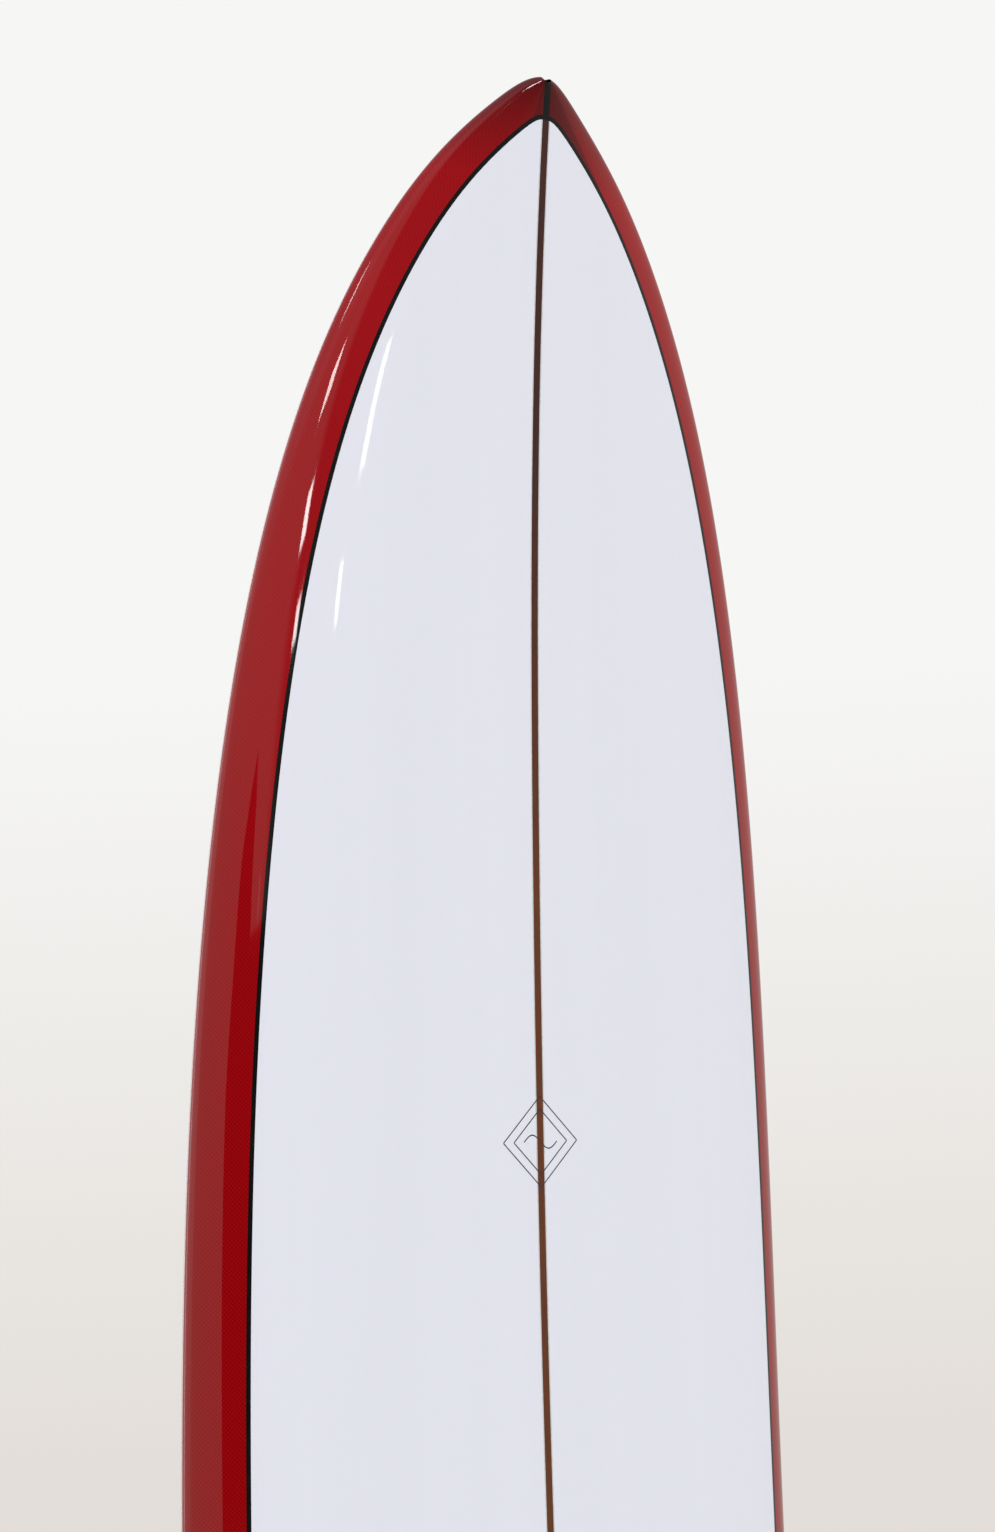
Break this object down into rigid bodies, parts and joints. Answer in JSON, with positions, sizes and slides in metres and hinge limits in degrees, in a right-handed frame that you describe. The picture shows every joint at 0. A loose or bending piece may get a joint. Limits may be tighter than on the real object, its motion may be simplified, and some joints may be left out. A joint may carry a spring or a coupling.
{
  "type": "longboard surfboard",
  "caption": "Pointed-nose longboard surfboard with wood stringer, tinted wrapped rails, pinline, slide-in centre fin and leash plug.",
  "frame": {"origin": "the bottom's flat spot on the centreline, on the outside of the gloss coat, where the board lies on a rack or a wall hanger", "axes": "+Z along the board from tail to nose, +Y out of the bottom (the deck faces -Y), +X to the right as the deck is looked at"},
  "size_m": [0.5714, 0.3102, 2.438],
  "materials": {
    "white_foam": "matte",
    "white_glue": "satin",
    "stringer_wood": "satin",
    "red_resin_cloth": "gloss",
    "clear_resin_cloth": "gloss",
    "red_gloss": "polished",
    "clear_gloss": "polished",
    "black_resin": "gloss",
    "emblem_paper": "gloss",
    "black_plastic": "satin",
    "set_resin": "satin",
    "fin_composite": "gloss",
    "stainless_steel": "satin",
    "brass_rod": "satin"
  },
  "bodies": {
    "board": {"foam_left": "white_foam", "foam_right": "white_foam", "stringer": "stringer_wood", "glue_line_left": "white_glue", "glue_line_right": "white_glue", "bottom_lamination": "red_resin_cloth", "deck_cloth_patch": "clear_resin_cloth", "deck_lamination": "clear_resin_cloth", "rail_gloss_coat": "red_gloss", "bottom_gloss_coat": "red_gloss", "deck_gloss_coat": "clear_gloss", "deck_pinline": "black_resin", "nose_pinline": "black_resin", "emblem_decal": "emblem_paper", "fin_box": "black_plastic", "fin_box_bed": "set_resin", "leash_plug_cup": "black_plastic", "leash_plug_bar": "stainless_steel", "leash_plug_bed": "set_resin"},
    "fin": {"fin_blade": "fin_composite", "fin_pin": "brass_rod", "fin_screw": "stainless_steel", "fin_plate": "stainless_steel"}
  },
  "joints": [
    {"name": "fin_slide", "type": "slide", "parent": "board", "child": "fin", "axis": [0, 0.0735, 0.9973], "range_m": [-0.03, 0.035]}
  ]
}
